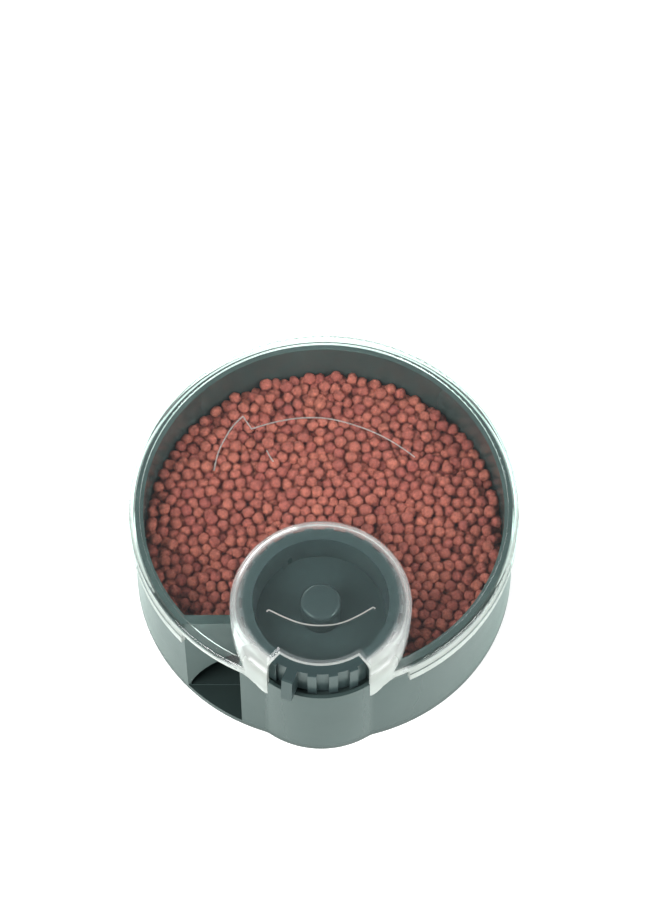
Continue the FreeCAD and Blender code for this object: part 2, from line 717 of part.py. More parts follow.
def window_outline(sketch, spread):
    """An arc at the back, slanting corners and straight sides, open to the front."""
    radius = DIMENSIONS["window_radius"] - spread
    corner = DIMENSIONS["window_corner"] + spread * 0.25
    depth = -math.sqrt(radius ** 2 - corner ** 2)
    half = DIMENSIONS["window_half"]
    knee = depth - (half - corner) * 1.15
    middle = FreeCAD.Vector(0, 0, 0)
    sketch.addGeometry(arc_between(middle, radius, math.atan2(depth, -corner),
                                   math.atan2(depth, corner)))
    path = [(corner, depth), (half, knee), (half, -22), (-half, -22), (-half, knee),
            (-corner, depth)]
    for first, second in zip(path[:-1], path[1:]):
        sketch.addGeometry(Part.LineSegment(vector(*first), vector(*second)))
    for i in range(6):
        sketch.addConstraint(Sketcher.Constraint("Coincident", i, 2, (i + 1) % 6, 1))
    pin_point(sketch, 0, 3, 0, 0)
    set_radius(sketch, 0, size("window_radius") - spread)


def make_window():
    """The finger opening in the hood, with a bevelled edge round the roof's cut."""
    bevel_low = size("hood_top") - "hood_wall"
    sketches = []
    for name, spread, height in (("window_foot", 0.0, size("leg_low") - 1),
                                 ("window_edge", 0.0, bevel_low),
                                 ("window_brim", 1.0, bevel_low + 1.0)):
        sketch = free_sketch(name)
        window_outline(sketch, spread)
        sketch.Placement = middle_turn()
        place(sketch, "dial_x", "dial_y", height)
        sketches.append(sketch)
    opening = extrude("window", sketches[0], FreeCAD.Vector(0, 0, 1),
                      bevel_low - size("leg_low") + 1)
    return [opening, ruled_solid("window_bevel", sketches[1], sketches[2])]


def make_lid():
    low = size("body_top") + "lid_gap"
    plate_top = low + "lid_thickness"
    rim_top = plate_top + "rim_height"
    rim = size("rim_radius")
    skirt_inner = size("drum_radius") + "skirt_gap"

    rim_form = new_body("rim_form")
    revolve(rim_form, [(0, low), (skirt_inner, low), (skirt_inner, low - "collar_drop"),
                       (rim, low - "collar_drop"), (rim, rim_top), (rim - "rim_width", rim_top),
                       (rim - "rim_width", plate_top), (0, plate_top)], "plate_and_rim")
    round_edges(rim_form, "rim_outside", 0.55, lambda edge: is_ring(edge, rim, rim_top))
    round_edges(rim_form, "rim_inside", 0.2,
                lambda edge: is_ring(edge, rim - "rim_width", rim_top))
    hood = new_body("hood_form")
    sketch = body_sketch(hood, "hood_foot", height=low)
    hood_footprint(sketch)
    pad(hood, sketch, size("hood_top") - low, "hood_pad")
    round_edges(hood, "hood_shoulder", "hood_round",
                lambda edge: edge.BoundBox.ZMin > DIMENSIONS["hood_top"] - 0.01)
    hood.Placement = middle_turn()
    place(hood, "dial_x", "dial_y")

    hollow = new_body("hood_hollow")
    sketch = body_sketch(hollow, "hollow_circle", height=size("lobe_rim"))
    circle(sketch, size("hood_radius") - "hood_wall")
    roof = size("hood_top") - "hood_wall"
    pad(hollow, sketch, roof - "lobe_rim", "hollow_pad")
    round_edges(hollow, "hollow_shoulder", size("hood_round") - "hood_wall",
                lambda edge: is_ring(edge, size("hood_radius") - "hood_wall", roof))
    place(hollow, "dial_x", "dial_y")

    skirt = fuse("skirt",
                 rim_ring("skirt_band", skirt_inner, rim, "skirt_low", low,
                          DIMENSIONS["skirt_start"], DIMENSIONS["skirt_sweep"]),
                 rim_ring("skirt_ridge_band", skirt_inner, rim + "ridge_step", "skirt_low",
                          "skirt_ridge", DIMENSIONS["skirt_start"], DIMENSIONS["skirt_sweep"]))
    shell_out = lobed_prism("tongue_out", rim, size("lobe_radius") + 1.05, size(3.0), "leg_low",
                            plate_top)
    shell_in = lobed_prism("tongue_in", skirt_inner, size("lobe_radius") + "skirt_gap", size(3.8),
                           "leg_low", low)
    tongues = common("tongues", fuse("tongue_forms", cut("tongue_skin", shell_out, shell_in),
                                     cut("leg_outside", make_leg_form("leg_low"),
                                         cylinder("leg_limit", skirt_inner, size(0), low))),
                     make_leg_reach())
    inner_wall = common("inner_wall",
                        cut("inner_wall_ring",
                            at_dial("inner_wall_out", size("lobe_radius") + 0.3,
                                    size("lobe_rim") + 0.4, low),
                            at_dial("inner_wall_in", size("hood_radius") - "hood_wall",
                                    size("lobe_rim"), low)),
                        box("inner_wall_reach", size(-14), size(14), size(-45), size(-29.3),
                            size("lobe_rim"), low))
    solid = fuse("lid_solid", rim_form, hood, skirt, tongues, inner_wall)
    lid = cut("lid", solid, hollow, *make_window())
    lid.Label = "lid"
    return lid


def check_and_write(nodes):
    doc.recompute()
    for item in doc.Objects:
        if "Invalid" in item.State or "Error" in item.State:
            raise ValueError("%s did not build" % item.Name)
    os.makedirs("parts", exist_ok=True)
    for node in nodes:
        shape = node.Shape
        if shape.isNull() or not shape.isValid():
            raise ValueError("%s is not a valid shape" % node.Label)
        print(node.Label, "solids", len(shape.Solids), "volume %.1f" % shape.Volume)
        shape.exportStep("parts/%s.step" % node.Label)


check_and_write([
    make_drum_body(), make_base_plate(), make_drive_socket(), make_base_screws(),
    make_dial_spindle(), make_spindle_cap(), make_dose_dial(), make_metering_rotor(),
    make_dial_o_ring(), make_lid(),
])
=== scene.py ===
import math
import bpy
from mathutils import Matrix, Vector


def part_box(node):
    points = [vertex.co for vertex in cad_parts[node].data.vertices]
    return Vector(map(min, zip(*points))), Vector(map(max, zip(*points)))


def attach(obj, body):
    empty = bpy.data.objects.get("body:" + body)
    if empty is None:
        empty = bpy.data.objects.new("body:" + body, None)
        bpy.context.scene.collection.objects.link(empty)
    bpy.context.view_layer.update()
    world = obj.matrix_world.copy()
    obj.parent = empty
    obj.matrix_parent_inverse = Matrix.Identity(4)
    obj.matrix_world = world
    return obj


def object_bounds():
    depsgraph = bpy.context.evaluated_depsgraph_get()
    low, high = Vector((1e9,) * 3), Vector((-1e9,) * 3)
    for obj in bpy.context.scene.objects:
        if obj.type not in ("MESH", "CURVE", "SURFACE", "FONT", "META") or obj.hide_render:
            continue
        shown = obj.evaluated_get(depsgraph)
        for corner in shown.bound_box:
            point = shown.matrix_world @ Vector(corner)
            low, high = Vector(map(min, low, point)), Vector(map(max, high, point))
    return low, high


bl_info = {
    "name": "Fish Feeder Food Drum",
    "version": (1, 0, 0),
    "blender": (4, 5, 0),
    "location": "View3D > Sidebar > Feeder",
    "description": "Dresses a fish feeder's food drum: plastics, clear lid, food and studio",
    "category": "Object",
}

import bpy
import numpy as np
from mathutils import Matrix, Quaternion, Vector

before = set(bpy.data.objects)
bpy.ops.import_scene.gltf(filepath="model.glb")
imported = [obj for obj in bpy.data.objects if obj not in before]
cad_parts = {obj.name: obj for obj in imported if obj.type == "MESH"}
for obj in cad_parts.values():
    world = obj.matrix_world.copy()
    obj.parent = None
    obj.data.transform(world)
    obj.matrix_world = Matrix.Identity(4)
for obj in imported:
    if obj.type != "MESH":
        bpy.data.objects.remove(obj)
CAD_LOW, CAD_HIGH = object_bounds()
MM = 0.001


# ---------- places on the drum, in metres ----------

def centre_of(node):
    low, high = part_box(node)
    return (low + high) / 2


DIAL = centre_of("spindle_cap")
DRUM_LOW, DRUM_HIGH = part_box("drum_body")
LID_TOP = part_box("lid")[1].z
PLATE_THICKNESS = 1.1 * MM
PLATE_TOP = DRUM_HIGH.z + PLATE_THICKNESS

# The food chamber: radii of the drum's inner wall and the dial's well, and the notch's corner.
CHAMBER_WALL = 32.5 * MM
WELL_WALL = 15.45 * MM
NOTCH_BACK = -21.3 * MM
NOTCH_SIDE = -12.2 * MM

# Where the lid turns milky: partly frosted plastic, partly a painted highlight, strongest at the
# front and fading towards the back. Each pair is where a fade starts and stops: heights from the
# plate's top or the lid's top, radii about the drum's or the dial's axis, or Y from the dial's
# axis.
UPRIGHT_FACE = (0.72, 0.98)
SKIRT_HEIGHT = (-1.1 * MM, -0.5 * MM)
SKIRT_RADIUS = (34.05 * MM, 34.35 * MM)
SKIRT_FADE = (-6 * MM, 14 * MM)
SKIRT_BACK = 0.08
HOOD_RADIUS = (18.4 * MM, 19.4 * MM)
HOOD_FADE = (-14 * MM, -3 * MM)
HOOD_BACK = 0.16
SHOULDER_RADIUS = (13.4 * MM, 14.8 * MM)
SHOULDER_HEIGHT = (0.3 * MM, 1.0 * MM)
SHOULDER_SHARE = 0.8
BEVEL_DEPTH = (-0.55 * MM, -0.35 * MM)
BEVEL_TOP = 0.1


# ---------- finishes ----------

# Noise scales, in waves per metre.
TONE_WAVES = 60
GLOSS_WAVES = 140
GRAIN_WAVES = 2600
CLEAR_WAVES = 45
STREAK_WAVES = 320
SMEAR_WAVES = 220
LINE_HIGHLIGHT_WAVES = 800
FROST_GLOSS_WAVES = 1500
TURNING_WAVES = 900
FLECK_WAVES = 2000
CRUST_WAVES = 1500
PAPER_WAVES = 900

SKIN_DEPTH = 0.01 * MM
CRUST_DEPTH = 0.8 * MM

GRAIN_STRENGTH = 0.02
PLASTIC_IOR = 1.33
COAT_IOR = 1.5
COAT_ROUGHNESS = 0.12
CLEAR_IOR = 1.5
PLASTIC_TINT = (0.50, 0.87, 0.76)
HUB_COLOUR = (0.03, 0.034, 0.034)
RING_COLOUR = (0.012, 0.012, 0.013)
PIN_COLOUR = (0.55, 0.56, 0.57)
SCREW_COLOUR = (0.62, 0.61, 0.57)
CLEAR_TONES = ((0.93, 0.955, 0.95), (0.975, 0.985, 0.98))
CLEAR_SMEAR = (0.01, 0.035)
CLEAR_SHADOW = (0.95, 0.965, 0.96)
MILK_ROUGHNESS = 0.3
MILK_AND_HIGHLIGHT_BODY = 0.62
# Pale tones of the raised lines: a painted highlight along their edges.
LINE_HIGHLIGHT_TONES = ((0.44, 0.42, 0.40), (0.54, 0.51, 0.48))
FROST_GLOSS = (0.28, 0.42)
FROST_CLEARNESS = 0.6
DARK_PELLET = (0.76, 0.62, 0.68)
PALE_PELLET = (1.2, 1.38, 1.24)
FLECK_TONES = ((0.38, 0.30, 0.29), (1.3, 1.3, 1.25))
FLECK_SHARE = 0.8
CRUST_GLOSS = (0.5, 0.75)


# ---------- the food ----------

# Packing, in pellet radii. Steps and shifts between rows and layers are in pitches.
FOOD_SEED = 11
PACKING_PASSES = 70
PITCH = 2.02
ROW_STEP = 0.87
LAYER_STEP = 0.78
LAYER_SHIFT = (0.33, 0.29)
WALL_OVERLAP = 0.6
PLACE_JITTER = 0.34
SIZE_SPREAD = (0.93, 1.07)
SURFACE_SINK = (-0.7, 1.2)
SETTLING = 0.012
PUSH_SHARE = 0.42

# Pellet forms, as shares of a pellet's radius.
PELLET_FORMS = 5
PELLET_SQUARENESS = 4.5
FORM_LENGTHS = (0.78, 1.1)
FORM_WIDTHS = (0.9, 1.06)
FORM_UNEVENNESS = 0.045
PELLET_SWELL = 1.02
TONE_SHAPE = 2.2


# ---------- raised lines, in mm ----------

# The arrow's long outline from its tail round the head, then the head's short inner barb.
ARROW_RUNS = (
    ((16.5, 9.8), (13.3, 12.6), (7.8, 15.7), (1.0, 17.95), (-4.3, 18.0), (-9.0, 17.1),
     (-13.1, 15.7), (-13.1, 15.7), (-14.7, 18.3), (-14.7, 18.3), (-16.5, 16.4),
     (-18.3, 13.1), (-19.5, 9.8), (-19.8, 7.2)),
    ((-10.3, 11.3), (-9.9, 10.2), (-9.1, 9.0)))

# A shallow bow in front of the dial's post, from the dial's axis, with a small hook at each end.
CRESCENT = ((-9.5, -2.35), (-9.25, -1.95), (-8.8, -2.15), (-6.6, -3.35), (-3.4, -4.75),
            (0.1, -5.15), (3.6, -4.7), (6.8, -3.1), (8.9, -1.75), (9.25, -1.5), (9.55, -1.85))

# The sill across the notch's floor.
SILL = ((-24.3, -24.3), (-20.0, -24.3), (-15.1, -24.3))


# ---------- studio ----------

# Name, place, width, height and watts.
SOFT_PANELS = (
    ("key_panel", (-0.46, -0.32, 0.60), 0.42, 0.42, 6.6),
    ("fill_panel", (0.58, -0.24, 0.50), 0.4, 0.4, 5.0),
    ("back_panel", (-0.35, 0.62, 0.30), 0.5, 0.25, 2.0))
PANEL_AIM = Vector((0, 0, 0.02))
FLOOR_SIZE = 6
FLOOR_GAP = 0.1 * MM
EYE_PLACE = Vector((0, -0.2702, 0.5737))
EYE_AIM = Vector((0.00115, 0.0113, 0.02565))
EYE_LENS = 136
EYE_SENSOR = 36
EYE_NEAR = 0.01
SKY_COLOUR = (0.97, 0.99, 1.0)
SKY_SPAN = (0.1, 0.75)
SKY_LOW, SKY_HIGH = 0.95, 0.24
PAPER_LIFT = 0.36
PAPER_GLOSS_LIFT = 0.4
# Pale teal glow of the paper in gloss: a painted reflection on the plastic's walls.
PAINTED_REFLECTION_TINT = (0.55, 1.0, 0.84)
WHITE = (1, 1, 1)


# ---------- sizes and colours that a user may change ----------

class FeederSizes(bpy.types.PropertyGroup):
    pellet_radius: bpy.props.FloatProperty(
        name="Pellet radius", description="Mean radius of a food pellet",
        default=1.08 * MM, min=0.5 * MM, unit="LENGTH", precision=5)
    fill_height: bpy.props.FloatProperty(
        name="Fill height", description="Height of the food's surface over the drum's back",
        default=17.2 * MM, unit="LENGTH", precision=5)
    bed_depth: bpy.props.FloatProperty(
        name="Bed depth", description="Depth of loose pellets that are modelled under the surface",
        default=4.6 * MM, unit="LENGTH", precision=5)
    line_width: bpy.props.FloatProperty(
        name="Raised line width", description="Width of the raised lines moulded on the lid",
        default=0.26 * MM, unit="LENGTH", precision=5)


class FeederColours(bpy.types.PropertyGroup):
    shell: bpy.props.FloatVectorProperty(
        name="Shell", description="Dark grey green of the drum", subtype="COLOR",
        size=3, min=0, max=1, default=(0.035, 0.053, 0.051))
    dial: bpy.props.FloatVectorProperty(
        name="Dial", description="Dark grey green of the dial", subtype="COLOR",
        size=3, min=0, max=1, default=(0.030, 0.046, 0.047))
    food: bpy.props.FloatVectorProperty(
        name="Food", description="Brick red of the pellets", subtype="COLOR",
        size=3, min=0, max=1, default=(0.40, 0.102, 0.074))
    # The milky tone is partly frosted plastic and partly a painted highlight on the lid's walls.
    milk_and_highlight: bpy.props.FloatVectorProperty(
        name="Milky plastic", description="Tone of the lid where it turns milky at its walls",
        subtype="COLOR", size=3, min=0, max=1, default=(0.46, 0.49, 0.46))
    paper: bpy.props.FloatVectorProperty(
        name="Paper", description="Pale studio floor", subtype="COLOR",
        size=3, min=0, max=1, default=(0.86, 0.86, 0.86))


# ---------- material nodes ----------

def new_material(name):
    material = bpy.data.materials.new(name)
    material.use_nodes = True
    tree = material.node_tree
    tree.nodes.clear()
    output = tree.nodes.new("ShaderNodeOutputMaterial")
    shader = tree.nodes.new("ShaderNodeBsdfPrincipled")
    tree.links.new(shader.outputs["BSDF"], output.inputs["Surface"])
    return material, tree, shader, output


def noise(tree, scale, detail=2.0, roughness=0.5):
    """Noise on Object coordinates; scale is in waves per metre."""
    place = tree.nodes.new("ShaderNodeTexCoord")
    pattern = tree.nodes.new("ShaderNodeTexNoise")
    pattern.inputs["Scale"].default_value = scale
    pattern.inputs["Detail"].default_value = detail
    pattern.inputs["Roughness"].default_value = roughness
    tree.links.new(place.outputs["Object"], pattern.inputs["Vector"])
    return pattern.outputs["Fac"]


def map_range(tree, value, start, stop, low, high):
    node = tree.nodes.new("ShaderNodeMapRange")
    node.inputs["From Min"].default_value = start
    node.inputs["From Max"].default_value = stop
    node.inputs["To Min"].default_value = low
    node.inputs["To Max"].default_value = high
    tree.links.new(value, node.inputs["Value"])
    return node


def remap(tree, value, low=0.0, high=1.0):
    """Spreads the middle of a noise, where nearly all of it lies, from low to high."""
    return map_range(tree, value, 0.3, 0.7, low, high).outputs["Result"]


def ramp(tree, value, span, low=0.0, high=1.0):
    """Runs smoothly from low to high as the value crosses the span."""
    node = map_range(tree, value, *span, low, high)
    node.interpolation_type = "SMOOTHSTEP"
    return node.outputs["Result"]


def arithmetic(tree, operation, *values):
    """A Math node fed by sockets or plain numbers."""
    node = tree.nodes.new("ShaderNodeMath")
    node.operation = operation
    for socket, value in zip(node.inputs, values):
        if isinstance(value, (int, float)):
            socket.default_value = value
        else:
            tree.links.new(value, socket)
    return node.outputs["Value"]


def product(tree, first, *others):
    for other in others:
        first = arithmetic(tree, "MULTIPLY", first, other)
    return first


def distance_from(tree, x, y, axis):
    """How far a point lies from an upright axis."""
    across = arithmetic(tree, "SUBTRACT", x, axis[0])
    along = arithmetic(tree, "SUBTRACT", y, axis[1])
    squares = arithmetic(tree, "ADD", product(tree, across, across), product(tree, along, along))
    return arithmetic(tree, "SQRT", squares)


def mix_colours(tree, factor, mode="MIX"):
    node = tree.nodes.new("ShaderNodeMix")
    node.data_type = "RGBA"
    node.blend_type = mode
    if isinstance(factor, float):
        node.inputs["Factor"].default_value = factor
    else:
        tree.links.new(factor, node.inputs["Factor"])
    return node


def blend_colours(tree, factor, first, second):
    """Two plain colours, blended by a socket."""
    node = mix_colours(tree, factor)
    node.inputs["A"].default_value = (*first, 1)
    node.inputs["B"].default_value = (*second, 1)
    return node.outputs["Result"]


def blend_tones(tree, factor, first, second, mode="MIX"):
    """Two coloured sockets, blended by a socket or a plain number."""
    node = mix_colours(tree, factor, mode)
    tree.links.new(first, node.inputs["A"])
    tree.links.new(second, node.inputs["B"])
    return node.outputs["Result"]


def bump(tree, shader, height, strength, distance):
    node = tree.nodes.new("ShaderNodeBump")
    node.inputs["Strength"].default_value = strength
    node.inputs["Distance"].default_value = distance
    tree.links.new(height, node.inputs["Height"])
    tree.links.new(node.outputs["Normal"], shader.inputs["Normal"])


def shaded(colour, factor):
    return tuple(min(1.0, c * factor) for c in colour)


def tinted(colour, factors):
    return tuple(c * factor for c, factor in zip(colour, factors))


# ---------- materials ----------

def moulded_plastic(name, colour, gloss=0.3, spread=0.06, coat=0.1):
    """Moulded plastic: a little uneven in tone and gloss, with a polished outer skin."""
    material, tree, shader, _ = new_material(name)
    tone = remap(tree, noise(tree, TONE_WAVES, 3))
    tree.links.new(blend_colours(tree, tone, shaded(colour, 0.9), shaded(colour, 1.12)),
                   shader.inputs["Base Color"])
    tree.links.new(remap(tree, noise(tree, GLOSS_WAVES, 4), gloss - spread / 2, gloss + spread / 2),
                   shader.inputs["Roughness"])
    shader.inputs["IOR"].default_value = PLASTIC_IOR
    shader.inputs["Coat Weight"].default_value = coat
    shader.inputs["Coat Roughness"].default_value = COAT_ROUGHNESS
    shader.inputs["Coat IOR"].default_value = COAT_IOR
    shader.inputs["Specular Tint"].default_value = (*PLASTIC_TINT, 1)
    bump(tree, shader, noise(tree, GRAIN_WAVES, 2), GRAIN_STRENGTH, SKIN_DEPTH)
    return material


def surface_point(tree):
    """How level the surface is at a point, and the point's X, Y and Z."""
    face = tree.nodes.new("ShaderNodeNewGeometry")
    split = tree.nodes.new("ShaderNodeSeparateXYZ")
    tree.links.new(face.outputs["Normal"], split.inputs["Vector"])
    level = arithmetic(tree, "ABSOLUTE", split.outputs["Z"])
    place = tree.nodes.new("ShaderNodeTexCoord")
    point = tree.nodes.new("ShaderNodeSeparateXYZ")
    tree.links.new(place.outputs["Object"], point.inputs["Vector"])
    return level, point.outputs["X"], point.outputs["Y"], point.outputs["Z"]


def lifted(span, height):
    return span[0] + height, span[1] + height


def milk_and_painted_highlight(tree):
    """0 on the lid's flat faces, up to 1 on its front skirt, its legs and its hood's shoulder. The
    mask is partly frosted plastic and partly a painted highlight, fading from front to back.
    """
    level, x, y, z = surface_point(tree)
    upright = ramp(tree, level, UPRIGHT_FACE, 1.0, 0.0)
    skirt = product(
        tree, upright, ramp(tree, y, SKIRT_FADE, 1.0, SKIRT_BACK),
        ramp(tree, z, lifted(SKIRT_HEIGHT, PLATE_TOP), 1.0, 0.0),
        ramp(tree, distance_from(tree, x, y, (0.0, 0.0)), SKIRT_RADIUS))
    away = distance_from(tree, x, y, (DIAL.x, DIAL.y))
    within = ramp(tree, away, HOOD_RADIUS, 1.0, 0.0)
    walls = product(tree, upright, within,
                    ramp(tree, z, lifted(BEVEL_DEPTH, LID_TOP), 1.0, BEVEL_TOP))
    shoulder = product(tree, ramp(tree, z, lifted(SHOULDER_HEIGHT, PLATE_TOP)),
                       ramp(tree, away, SHOULDER_RADIUS), within, SHOULDER_SHARE)
    hood = product(tree, arithmetic(tree, "MAXIMUM", walls, shoulder),
                   ramp(tree, y, lifted(HOOD_FADE, DIAL.y), 1.0, HOOD_BACK))
    return arithmetic(tree, "MAXIMUM", skirt, hood)


def let_lamps_through(tree, shader, output, tint):
    """Lets lamplight pass to what lies under a clear piece."""
    rays = tree.nodes.new("ShaderNodeLightPath")
    passing = tree.nodes.new("ShaderNodeBsdfTransparent")
    passing.inputs["Color"].default_value = (*tint, 1)
    choice = tree.nodes.new("ShaderNodeMixShader")
    tree.links.new(rays.outputs["Is Shadow Ray"], choice.inputs["Fac"])
    tree.links.new(shader.outputs["BSDF"], choice.inputs[1])
    tree.links.new(passing.outputs["BSDF"], choice.inputs[2])
    tree.links.new(choice.outputs["Shader"], output.inputs["Surface"])


def lid_plastic(milk_and_highlight):
    """Clear moulded plastic, milky at the walls: partly frost, partly a painted highlight that is
    strongest at the front.
    """
    material, tree, shader, output = new_material("clear_styrene")
    milk_and_highlight_mask = milk_and_painted_highlight(tree)
    clear = blend_colours(tree, remap(tree, noise(tree, CLEAR_WAVES, 2)), *CLEAR_TONES)
    milk_and_highlight_tone = blend_colours(tree, remap(tree, noise(tree, STREAK_WAVES, 3)),
                           shaded(milk_and_highlight, 0.93), shaded(milk_and_highlight, 1.07))
    # The lid's walls take the milky tone: partly frost, partly painted highlight.
    tree.links.new(blend_tones(tree, milk_and_highlight_mask, clear, milk_and_highlight_tone), shader.inputs["Base Color"])
    smear = remap(tree, noise(tree, SMEAR_WAVES, 4), *CLEAR_SMEAR)
    tree.links.new(arithmetic(tree, "ADD", smear, product(tree, milk_and_highlight_mask, MILK_ROUGHNESS)),
                   shader.inputs["Roughness"])
    tree.links.new(arithmetic(tree, "SUBTRACT", 1.0, product(tree, milk_and_highlight_mask, MILK_AND_HIGHLIGHT_BODY)),
                   shader.inputs["Transmission Weight"])
    shader.inputs["IOR"].default_value = CLEAR_IOR
    let_lamps_through(tree, shader, output, CLEAR_SHADOW)
    return material


def frost_and_highlight_lines():
    """The raised lines' finish: clear frosted plastic whose pale tone is a painted highlight along
    the lines.
    """
    material, tree, shader, _ = new_material("frosted_line_painted_highlight")
    tone = remap(tree, noise(tree, LINE_HIGHLIGHT_WAVES, 3))
    # The pale tone is a painted highlight where light catches the lines.
    tree.links.new(blend_colours(tree, tone, *LINE_HIGHLIGHT_TONES), shader.inputs["Base Color"])
    tree.links.new(remap(tree, noise(tree, FROST_GLOSS_WAVES, 2), *FROST_GLOSS),
                   shader.inputs["Roughness"])
    shader.inputs["Transmission Weight"].default_value = FROST_CLEARNESS
    shader.inputs["IOR"].default_value = CLEAR_IOR
    return material


def steel(name, colour, gloss):
    """Turned or plated steel."""
    material, tree, shader, _ = new_material(name)
    tone = remap(tree, noise(tree, TURNING_WAVES, 3))
    tree.links.new(blend_colours(tree, tone, shaded(colour, 0.85), shaded(colour, 1.1)),
                   shader.inputs["Base Color"])
    tree.links.new(remap(tree, noise(tree, TURNING_WAVES * 2, 3), gloss, gloss + 0.15),
                   shader.inputs["Roughness"])
    shader.inputs["Metallic"].default_value = 1.0
    bump(tree, shader, noise(tree, TURNING_WAVES * 3, 2), 0.15, SKIN_DEPTH)
    return material


def food_crust(colour):
    """Pressed fish food: each pellet has its own tone, and a rough, mealy skin."""
    material, tree, shader, _ = new_material("pressed_food")
    tint = tree.nodes.new("ShaderNodeAttribute")
    tint.attribute_name = "pellet_tone"
    own = blend_colours(tree, tint.outputs["Fac"], tinted(colour, DARK_PELLET),
                        tinted(colour, PALE_PELLET))
    flecks = blend_colours(tree, remap(tree, noise(tree, FLECK_WAVES, 4, 0.7)), *FLECK_TONES)
    tree.links.new(blend_tones(tree, FLECK_SHARE, own, flecks, "MULTIPLY"),
                   shader.inputs["Base Color"])
    tree.links.new(remap(tree, noise(tree, CRUST_WAVES, 3), *CRUST_GLOSS),
                   shader.inputs["Roughness"])
    bump(tree, shader, noise(tree, CRUST_WAVES, 5, 0.7), 1.0, CRUST_DEPTH)
    return material


def studio_paper(colour):
    """Pale paper that reads as white to the eye and still takes a shadow. Where the plastic mirrors
    it, it glows pale teal: a painted reflection that tints the walls.
    """
    material, tree, shader, output = new_material("studio_paper")
    grain = remap(tree, noise(tree, PAPER_WAVES, 3))
    tree.links.new(blend_colours(tree, grain, shaded(colour, 0.99), shaded(colour, 1.01)),
                   shader.inputs["Base Color"])
    shader.inputs["Roughness"].default_value = 0.9
    shader.inputs["Specular IOR Level"].default_value = 0.1
    rays = tree.nodes.new("ShaderNodeLightPath")
    lift = tree.nodes.new("ShaderNodeEmission")
    mirrored = rays.outputs["Is Glossy Ray"]
    # Rays that mirror the paper see it glow pale teal: a painted reflection.
    tree.links.new(blend_colours(tree, mirrored, WHITE, PAINTED_REFLECTION_TINT), lift.inputs["Color"])
    seen = arithmetic(tree, "ADD", product(tree, rays.outputs["Is Camera Ray"], PAPER_LIFT),
                      product(tree, rays.outputs["Is Transmission Ray"], PAPER_LIFT))
    tree.links.new(arithmetic(tree, "ADD", seen, product(tree, mirrored, PAPER_GLOSS_LIFT)),
                   lift.inputs["Strength"])
    total = tree.nodes.new("ShaderNodeAddShader")
    tree.links.new(shader.outputs["BSDF"], total.inputs[0])
    tree.links.new(lift.outputs["Emission"], total.inputs[1])
    tree.links.new(total.outputs["Shader"], output.inputs["Surface"])
    return material


# ---------- modelling helpers ----------

def paint(node, material):
    """Gives a CAD node its material."""
    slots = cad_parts[node].data.materials
    slots.clear()
    slots.append(material)


def clear_selection():
    if bpy.context.mode != "OBJECT":
        bpy.ops.object.mode_set(mode="OBJECT")
    bpy.ops.object.select_all(action="DESELECT")


def settle(piece, name, material, body):
    """Names a finished piece, applies its place to its mesh and lets it ride on a body."""
    clear_selection()
    piece.select_set(True)
    bpy.context.view_layer.objects.active = piece
    bpy.ops.object.transform_apply(location=True, rotation=True, scale=True)
    piece.name = name
    piece.data.name = name
    piece.data.materials.clear()
    piece.data.materials.append(material)
    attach(piece, body)
    piece.select_set(False)


def raised_line(run, height, width):
    """A round bead through points given in metres, half sunk in the face at that height."""
    clear_selection()
    bpy.ops.curve.primitive_bezier_curve_add(location=(0, 0, 0))
    line = bpy.context.object
    line.data.splines.clear()
    spline = line.data.splines.new("NURBS")
    spline.points.add(len(run) - 1)
    for knot, (x, y) in zip(spline.points, run):
        knot.co = (x, y, height, 1)
    spline.order_u = 3
    spline.use_endpoint_u = True
    spline.resolution_u = 8
    line.data.dimensions = "3D"
    line.data.bevel_depth = width / 2
    line.data.bevel_resolution = 2
    line.data.use_fill_caps = True
    bpy.ops.object.convert(target="MESH")
    return line


def in_metres(run, x=0.0, y=0.0):
    return [(x + across * MM, y + along * MM) for across, along in run]


# ---------- packing the food ----------

def first_places(radius, top, depth):
    """Staggered rows of pellets in layers, over the whole drum."""
    pitch = PITCH * radius
    rows = int(2 * CHAMBER_WALL / (pitch * ROW_STEP)) + 2
    spots = []
    for layer in range(int(depth / (pitch * LAYER_STEP)) + 1):
        for row in range(rows):
            y = -CHAMBER_WALL + row * pitch * ROW_STEP + layer * pitch * LAYER_SHIFT[1]
            for column in range(rows):
                x = (-CHAMBER_WALL + (column + 0.5 * (row % 2)) * pitch
                     + layer * pitch * LAYER_SHIFT[0])
                if math.hypot(x, y) < CHAMBER_WALL - radius * WALL_OVERLAP:
                    spots.append((x, y, top - radius - layer * pitch * LAYER_STEP))
    return np.array(spots)


def pack_pellets(radius, top, depth, rng):
    """Loose packing of pellets under an uneven surface, clear of the drum's inner walls."""
    place = first_places(radius, top, depth)
    place += rng.normal(0, radius * PLACE_JITTER, place.shape)
    size = radius * rng.uniform(*SIZE_SPREAD, len(place))
    kept = in_chamber(place, size)
    place, size = place[kept], size[kept]
    keep_in_chamber(place, size)
    sink = radius * rng.uniform(*SURFACE_SINK, len(place))
    for _ in range(PACKING_PASSES):
        place = push_apart(place, size)
        place[:, 2] -= radius * SETTLING
        keep_in_chamber(place, size)
        ceiling = surface_height(place, top) - size - sink
        place[:, 2] = np.minimum(place[:, 2], ceiling)
        place[:, 2] = np.maximum(place[:, 2], top - depth)
    return place, size


def surface_height(place, top):
    """The food's surface: low at the far wall, a little heaped by the dial, gently uneven."""
    x = place[:, 0] / MM
    y = place[:, 1] / MM
    swell = 0.55 * np.sin(x * 0.21 + 1.3) * np.cos(y * 0.17 - 0.6)
    ripple = 0.35 * np.sin(x * 0.52 - y * 0.39)
    return top + (swell + ripple - 0.02 * y) * MM


def in_notch(flat, margin):
    """True where a pellet's centre is in front of the notch's back wall."""
    return (flat[:, 0] < NOTCH_SIDE + margin) & (flat[:, 1] < NOTCH_BACK + margin)


